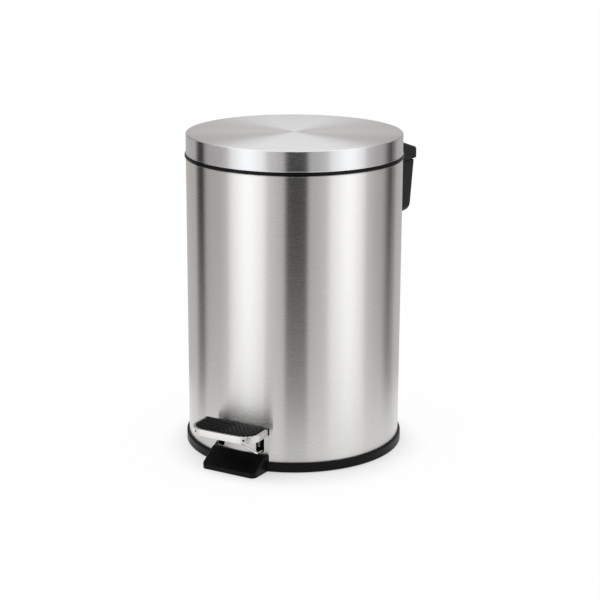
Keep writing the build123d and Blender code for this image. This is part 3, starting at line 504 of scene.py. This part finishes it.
def brushed_steel(name, tint, disc):
    """Steel brushed around the upright axis. With disc, flat tops are brushed in circles."""
    material, tree, shader = new_material(name)
    coordinates = add_node(tree, "ShaderNodeTexCoord").outputs
    place = circled(tree, coordinates) if disc else coordinates["Object"]
    lines = scratches(tree, place, BRUSH_FINE, BRUSH_LONG)
    streaks = scratches(tree, place, BRUSH_FINE / STREAK_RATIO, BRUSH_LONG / STREAK_RATIO)
    worn = maths(tree, "MULTIPLY_ADD", streaks, 0.5, maths(tree, "MULTIPLY", lines, 0.5))
    tone = remap(tree, worn, STEEL_TONE - TONE_SPREAD, STEEL_TONE + TONE_SPREAD)
    gloss = remap(tree, lines, STEEL_ROUGHNESS - GLOSS_SPREAD, STEEL_ROUGHNESS + GLOSS_SPREAD)
    relief = {"Strength": BRUSH_RELIEF, "Distance": BRUSH_DEPTH, "Height": lines}
    bump = add_node(tree, "ShaderNodeBump", None, relief)
    tangent = add_node(tree, "ShaderNodeTangent", {"direction_type": "RADIAL", "axis": "Z"})
    tree.links.new(steel_colour(tree, tone, tint), shader.inputs["Base Color"])
    tree.links.new(gloss, shader.inputs["Roughness"])
    tree.links.new(bump.outputs[0], shader.inputs["Normal"])
    tree.links.new(tangent.outputs[0], shader.inputs["Tangent"])
    shader.inputs["Metallic"].default_value = 1.0
    shader.inputs["Anisotropic"].default_value = BRUSH_ANISOTROPY
    shader.inputs["Anisotropic Rotation"].default_value = BRUSH_TURN
    return material


body_steel = brushed_steel("body_steel", BODY_TINT, False)
lid_steel = brushed_steel("lid_steel", LID_TINT, True)
print("steel finishes:", body_steel.name, lid_steel.name)

# %% [markdown]
# ## Black plastic and rubber
# The base, the rim and the hinge are moulded in black plastic with a fine grain from the mould.
# Rubber is duller and a little rougher. A flat black would swallow every edge, so each finish has
# its own grain, and its roughness wanders a little the way handled plastic does.

# %% Plastic and rubber finishes
WANDER_SCALE = 45.0
TINT_WANDER = 0.15
SMOOTHER = 0.04
ROUGHER = 0.05
GRAIN_STRENGTH = 0.5


def moulded(name, colour, roughness, shine, grain_size, grain_depth):
    """Moulded plastic or rubber: an even colour with a fine grain and a wandering gloss."""
    material, tree, shader = new_material(name)
    place = add_node(tree, "ShaderNodeTexCoord").outputs["Object"]
    fine = {"Vector": place, "Scale": 1 / grain_size, "Detail": 3.0}
    grain = add_node(tree, "ShaderNodeTexNoise", None, fine).outputs["Fac"]
    broad = {"Vector": place, "Scale": WANDER_SCALE, "Detail": 2.0}
    wander = add_node(tree, "ShaderNodeTexNoise", None, broad).outputs["Fac"]
    tint = [
        remap(tree, wander, channel * (1 - TINT_WANDER), channel * (1 + TINT_WANDER))
        for channel in colour
    ]
    blended = add_node(tree, "ShaderNodeCombineColor", None, dict(enumerate(tint))).outputs[0]
    gloss = remap(tree, wander, roughness - SMOOTHER, roughness + ROUGHER)
    relief = {"Strength": GRAIN_STRENGTH, "Distance": grain_depth, "Height": grain}
    bump = add_node(tree, "ShaderNodeBump", None, relief)
    tree.links.new(blended, shader.inputs["Base Color"])
    tree.links.new(gloss, shader.inputs["Roughness"])
    tree.links.new(bump.outputs[0], shader.inputs["Normal"])
    shader.inputs["Specular IOR Level"].default_value = shine
    return material


black_plastic = moulded("black_plastic", (0.003, 0.003, 0.0034), 0.38, 0.12, 0.6 * MM, 0.01 * MM)
bucket_plastic = moulded("bucket_plastic", (0.03, 0.03, 0.033), 0.48, 0.3, 0.8 * MM, 0.02 * MM)
bearing_plastic = moulded("bearing_plastic", (0.72, 0.71, 0.67), 0.45, 0.5, 0.8 * MM, 0.01 * MM)
black_rubber = moulded("black_rubber", (0.004, 0.004, 0.0044), 0.55, 0.2, 0.4 * MM, 0.03 * MM)
moulded_finishes = (black_plastic, bucket_plastic, bearing_plastic, black_rubber)
print("moulded finishes:", [finish.name for finish in moulded_finishes])

# %% [markdown]
# ## Small metal parts
# Pins, screws, the lever and the wire are plated, and the pedal's edge is polished sheet. They could
# share the body's brushing, but small parts are plated in a barrel and come out even. A clean tone
# with faint clouds in its gloss is enough. The lever's plating is darkened as painted shade in the slots.

# %% Plated and polished finishes
CLOUD_SCALE = 260.0
CLOUD_SPREAD = 0.2


def plated(name, tone, roughness, mottle):
    """Plated or polished metal: a clean tone with faint clouding in its gloss."""
    material, tree, shader = new_material(name)
    place = add_node(tree, "ShaderNodeTexCoord").outputs["Object"]
    cloudy = {"Vector": place, "Scale": CLOUD_SCALE, "Detail": 4.0}
    cloud = add_node(tree, "ShaderNodeTexNoise", None, cloudy).outputs["Fac"]
    clouded = remap(tree, cloud, tone - mottle, tone + mottle)
    gloss = remap(tree, cloud, roughness * (1 - CLOUD_SPREAD), roughness * (1 + CLOUD_SPREAD))
    tree.links.new(steel_colour(tree, clouded, BODY_TINT), shader.inputs["Base Color"])
    tree.links.new(gloss, shader.inputs["Roughness"])
    shader.inputs["Metallic"].default_value = 1.0
    return material


polished_steel = plated("polished_steel", 0.68, 0.2, 0.02)
plated_steel = plated("plated_steel", 0.45, 0.3, 0.05)
# Painted shade: a dark copy of the plating for the lever's arms in the body's dim slots.
lever_painted_shade = plated("lever_painted_shade", 0.16, 0.45, 0.02)
steel_wire = plated("steel_wire", 0.78, 0.07, 0.03)
metal_finishes = (polished_steel, plated_steel, lever_painted_shade, steel_wire)
print("metal finishes:", [finish.name for finish in metal_finishes])

# %% [markdown]
# ## Finishes on the solid parts
# The record names a material slot for every part, so the finishes can be handed out by slot. Two
# parts are treated apart: the lid, because its top is brushed in circles and the body is not, and the
# pedal lever, whose plating is darkened as painted shade where its arms show in the body's slots.

# %% Hand out the finishes
FINISHES = {
    "brushed_steel": body_steel,
    "polished_steel": polished_steel,
    "black_plastic": black_plastic,
    "bucket_plastic": bucket_plastic,
    "bearing_plastic": bearing_plastic,
    "black_rubber": black_rubber,
    "plated_steel": plated_steel,
    "steel_wire": steel_wire,
}
slot_of = {row["node"]: row["material_slot"] for row in frame["record"]["subparts"]}


def finish_with(piece, material):
    """Make one material the piece's only finish."""
    piece.data.materials.clear()
    piece.data.materials.append(material)


for name, piece in nodes.items():
    finish_with(piece, FINISHES[slot_of[name]])
finish_with(nodes["lid_shell"], lid_steel)
# The lever takes the darkened plating, painted shade where its arms sit in the slots.
finish_with(nodes["pedal_lever"], lever_painted_shade)
print("finished nodes:", len(nodes))

# %% [markdown]
# ## Mesh helpers
# The pad, the spring and the beads get meshes of their own below. A solid part's mesh is loose
# triangles and must stay as it is, so work starts on a copy whose doubled points are merged. Editing
# by hand in Edit Mode can't be repeated, and a bmesh gives the same steps by name.

# %% Helpers for meshes
MERGE = 0.01 * MM
SHARP_ANGLE = math.radians(40)
ROUND_STEPS = 3


def merged_copy(node):
    """A node's mesh to work on, with its doubled points merged."""
    shape = bmesh.new()
    shape.from_mesh(nodes[node].data)
    bmesh.ops.remove_doubles(shape, verts=shape.verts, dist=MERGE)
    return shape


def new_piece(name, shape):
    """A bmesh as a new object with smooth faces and sharp corners."""
    mesh = bpy.data.meshes.new(name)
    shape.to_mesh(mesh)
    shape.free()
    piece = bpy.data.objects.new(name, mesh)
    bpy.context.scene.collection.objects.link(piece)
    mesh.shade_smooth()
    mesh.set_sharp_from_angle(angle=SHARP_ANGLE)
    return piece


def level_edges(shape, height):
    """Edges of a flat top at a given height where the form turns down."""
    return [
        edge
        for edge in shape.edges
        if all(abs(point.co.z - height) < MERGE for point in edge.verts)
        and edge.is_manifold
        and edge.calc_face_angle() > SHARP_ANGLE
    ]


def soften(shape, height, radius):
    """Round the edges of a flat top."""
    bmesh.ops.bevel(
        shape,
        geom=level_edges(shape, height),
        offset=radius,
        segments=ROUND_STEPS,
        profile=0.5,
        affect="EDGES",
        clamp_overlap=True,
    )


print("mesh helpers ready")

# %% [markdown]
# ## Rubber pad
# The pad on the pedal has raised ribs that run in chevrons from its middle to its front corners. They
# could be drawn as a bump in the material, but ribs that a shoe can feel have real height and shade
# each other. One V-shaped bar is repeated along the pad by Geometry Nodes and cut to the pad's own
# outline, and the solid pad, lowered by the ribs' height, lies under them.

# %% One rib of the pad
RIB_HEIGHT = 0.9 * MM
RIB_WIDTH = 2.3 * MM
RIB_SLOPE = 1.25

pad_low, pad_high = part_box("pedal_pad")
pad_middle = (pad_low + pad_high) / 2
pad_size = pad_high - pad_low
pad_floor = pad_high.z - RIB_HEIGHT


def rib_bar():
    """One chevron: a V-shaped bar with its point to the rear, wider than the pad."""
    reach = pad_size.x
    half = RIB_WIDTH * math.hypot(1, RIB_SLOPE) / 2
    fall = RIB_SLOPE * reach
    outline = [
        (0, half),
        (-reach, half - fall),
        (-reach, -half - fall),
        (0, -half),
        (reach, -half - fall),
        (reach, half - fall),
    ]
    shape = bmesh.new()
    face = shape.faces.new([shape.verts.new((x, y, pad_floor - RIB_HEIGHT)) for x, y in outline])
    risen = bmesh.ops.extrude_face_region(shape, geom=[face])["geom"]
    points = [item for item in risen if isinstance(item, bmesh.types.BMVert)]
    bmesh.ops.translate(shape, vec=(0, 0, 3 * RIB_HEIGHT), verts=points)
    bmesh.ops.recalc_face_normals(shape, faces=shape.faces)
    return new_piece("rib_bar", shape)


rib = rib_bar()
print("pad in mm:", [round(length / MM, 1) for length in pad_size], "rib faces:", len(rib.data.polygons))

# %% [markdown]
# ### Rows of ribs
# An Array modifier could repeat the bar as well, but the cut to the outline would need a second
# modifier and a hidden object. One tree does both: a line of points, a bar on each point, and a
# Boolean that keeps what lies inside the outline.

# %% Tree that repeats and cuts the ribs
RIB_INPUTS = {
    "Outline": "NodeSocketGeometry",
    "Bar": "NodeSocketObject",
    "Count": "NodeSocketInt",
    "First": "NodeSocketVector",
    "Step": "NodeSocketVector",
    "Finish": "NodeSocketMaterial",
}


def rib_tree():
    """Repeat a bar along the pad and keep what lies inside the outline block."""
    tree = bpy.data.node_groups.new("pad_ribs", "GeometryNodeTree")
    sockets = {
        name: tree.interface.new_socket(name, in_out="INPUT", socket_type=kind).identifier
        for name, kind in RIB_INPUTS.items()
    }
    tree.interface.new_socket("Ribs", in_out="OUTPUT", socket_type="NodeSocketGeometry")
    given = add_node(tree, "NodeGroupInput").outputs
    places = {"Count": given["Count"], "Start Location": given["First"], "Offset": given["Step"]}
    line = add_node(tree, "GeometryNodeMeshLine", {"mode": "OFFSET"}, places).outputs[0]
    bar = add_node(tree, "GeometryNodeObjectInfo", None, {"Object": given["Bar"]}).outputs["Geometry"]
    row = {"Points": line, "Instance": bar}
    bars = add_node(tree, "GeometryNodeInstanceOnPoints", None, row).outputs[0]
    solid = add_node(tree, "GeometryNodeRealizeInstances", None, {0: bars}).outputs[0]
    cut = add_node(tree, "GeometryNodeMeshBoolean", {"operation": "INTERSECT"})
    tree.links.new(given["Outline"], cut.inputs["Mesh 2"])
    tree.links.new(solid, cut.inputs["Mesh 2"])
    whole = add_node(tree, "GeometryNodeRealizeInstances", None, {0: cut.outputs[0]}).outputs[0]
    paint = {"Geometry": whole, "Material": given["Finish"]}
    painted = add_node(tree, "GeometryNodeSetMaterial", None, paint)
    output = add_node(tree, "NodeGroupOutput")
    tree.links.new(painted.outputs[0], output.inputs[0])
    return tree, sockets


rib_nodes, rib_sockets = rib_tree()
print("rib tree nodes:", len(rib_nodes.nodes))

# %% [markdown]
# ### Ribs inside the pad's outline
# The ribs end a little inside the pad's edge. Drawing a second outline by hand would have to follow
# every change of the pad, so the pad's own block, drawn in by a margin, is the outline. It reaches
# below the pad's surface, and the ribs are rooted there.

# %% Ribs cut to the pad
RIB_ROOT = 0.3 * MM
RIB_PITCH = 7.2 * MM
RIB_MARGIN = 1.5 * MM
RIB_ROUND = 0.4 * MM
FLAT_ANGLE = math.radians(1)


def pad_block(margin, bottom, top):
    """The pad's outline drawn in by a margin, between two levels."""
    shape = merged_copy("pedal_pad")
    bmesh.ops.dissolve_limit(shape, angle_limit=FLAT_ANGLE, verts=shape.verts, edges=shape.edges)
    for point in shape.verts:
        point.co.x = pad_middle.x + (point.co.x - pad_middle.x) * (1 - 2 * margin / pad_size.x)
        point.co.y = pad_middle.y + (point.co.y - pad_middle.y) * (1 - 2 * margin / pad_size.y)
        point.co.z = top if point.co.z > pad_middle.z else bottom
    return shape


def make_ribs():
    """All the ribs as one mesh with softened tops."""
    outline = new_piece("rib_outline", pad_block(RIB_MARGIN, pad_floor - RIB_ROOT, pad_high.z))
    first = pad_high.y + RIB_SLOPE * pad_size.x / 2
    values = {
        "Bar": rib,
        "Count": math.ceil((first - pad_low.y) / RIB_PITCH) + 1,
        "First": (0, first, 0),
        "Step": (0, -RIB_PITCH, 0),
        "Finish": black_rubber,
    }
    modifier = outline.modifiers.new("ribs", "NODES")
    modifier.node_group = rib_nodes
    for name, value in values.items():
        modifier[rib_sockets[name]] = value
    bpy.context.view_layer.update()
    evaluated = outline.evaluated_get(bpy.context.evaluated_depsgraph_get())
    mesh = bpy.data.meshes.new_from_object(evaluated)
    outline.modifiers.remove(modifier)
    for helper in (outline, rib):
        bpy.data.objects.remove(helper)
    shape = bmesh.new()
    shape.from_mesh(mesh)
    bmesh.ops.remove_doubles(shape, verts=shape.verts, dist=MERGE)
    soften(shape, pad_high.z, RIB_ROUND)
    shape.to_mesh(mesh)
    shape.free()
    return mesh


ribs = make_ribs()
print("rib faces after the cut:", len(ribs.polygons))

# %% [markdown]
# ### Pad under the ribs
# Pad and ribs are one moulding. A Boolean union would leave thin slivers along every rib, so the ribs
# are simply sunk into the low pad and both ride on the pedal as one piece.

# %% Ribbed rubber pad
PAD_ROUND = 0.5 * MM


def make_pad():
    """The ribs and the low pad under them as one piece."""
    shape = pad_block(0, pad_low.z, pad_floor)
    soften(shape, pad_floor, PAD_ROUND)
    shape.from_mesh(ribs)
    pad = new_piece("ribbed_pad", shape)
    pad.data.materials.append(black_rubber)
    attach(pad, "pedal")
    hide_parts("pedal_pad")
    return pad


pad = make_pad()
print("ribbed pad faces:", len(pad.data.polygons))

# %% [markdown]
# ## Return spring
# The bent wire under the pedal is seated in the base at one end and moves with the pedal at the other,
# so neither body alone can carry it. It takes the solid wire's own shape, divided along its straight
# lengths into rings close enough together to bend.

# %% Spring wire divided into rings
WIRE_STEP = 3 * MM
WIRE_ROUNDS = 4


def make_spring():
    """The spring's wire with rings close enough together to bend."""
    shape = merged_copy("pedal_spring")
    for _ in range(WIRE_ROUNDS):
        long_edges = [edge for edge in shape.edges if edge.calc_length() > WIRE_STEP]
        bmesh.ops.subdivide_edges(shape, edges=long_edges, cuts=1)
    bmesh.ops.triangulate(shape, faces=shape.faces)
    spring = new_piece("bending_spring", shape)
    spring.data.materials.append(steel_wire)
    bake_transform(spring)
    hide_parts("pedal_spring")
    return spring


spring = make_spring()
print("spring faces:", len(spring.data.polygons))

# %% [markdown]
# ## Rolled beads
# The sheet is rolled into a narrow bead at the body's mouth and at the lid's lower edge, which shows
# as a thin bright line. A bevel on the sheet's edge would be hidden by the rim, so each bead is a slim
# ring of its own, sunk into the sheet. It stops short of the hinge, where the mouldings cover it.

# %% Profile of a bead
BEAD_PROUD = 0.4 * MM
BEAD_HALF_HEIGHT = 0.6 * MM
BEAD_SUNK = 0.3 * MM
BEAD_CURVE = 8

sheet_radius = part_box("outer_shell")[1].x


def bead_profile(level):
    """Radius and height of the points around a half-round bead with a square root in the sheet."""
    angles = [math.pi * (step / BEAD_CURVE - 0.5) for step in range(BEAD_CURVE + 1)]
    bulge = [
        (sheet_radius + BEAD_PROUD * math.cos(angle), level + BEAD_HALF_HEIGHT * math.sin(angle))
        for angle in angles
    ]
    root = sheet_radius - BEAD_SUNK
    return bulge + [(root, level + BEAD_HALF_HEIGHT), (root, level - BEAD_HALF_HEIGHT)]


print("points around a bead:", len(bead_profile(0)))

# %% [markdown]
# ### Rings around the can
# Both beads have the same profile at different heights. A Screw modifier could sweep it, but would
# leave the two ends at the hinge open. A loop places the profile at each step around the axis, joins
# each ring to the one before, and closes both ends with a face.

# %% Beads on the body and the lid
BEAD_STEPS = 240
BEAD_GAP = math.radians(42)
MOUTH_BELOW_RIM = 4.2 * MM


def make_bead(name, body, level, material):
    """A half-round ring around the can at one level, open behind where the hinge is."""
    profile = bead_profile(level)
    shape = bmesh.new()
    rings = []
    for step in range(BEAD_STEPS + 1):
        angle = BEAD_GAP + (2 * math.pi - 2 * BEAD_GAP) * step / BEAD_STEPS
        rings.append([shape.verts.new((r * math.sin(angle), r * math.cos(angle), z)) for r, z in profile])
    for ring, following in zip(rings, rings[1:]):
        for place in range(len(profile)):
            corners = [ring[place - 1], ring[place], following[place], following[place - 1]]
            shape.faces.new(corners)
    shape.faces.new(rings[0])
    shape.faces.new(rings[-1])
    bmesh.ops.recalc_face_normals(shape, faces=shape.faces)
    bead = new_piece(name, shape)
    bead.data.materials.append(material)
    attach(bead, body)
    return bead


mouth_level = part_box("rim_ring")[1].z - MOUTH_BELOW_RIM
hem_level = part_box("lid_shell")[0].z + BEAD_HALF_HEIGHT
beads = [
    make_bead("body_bead", "can", mouth_level, body_steel),
    make_bead("lid_bead", "lid", hem_level, lid_steel),
]
print("bead faces:", [len(bead.data.polygons) for bead in beads])
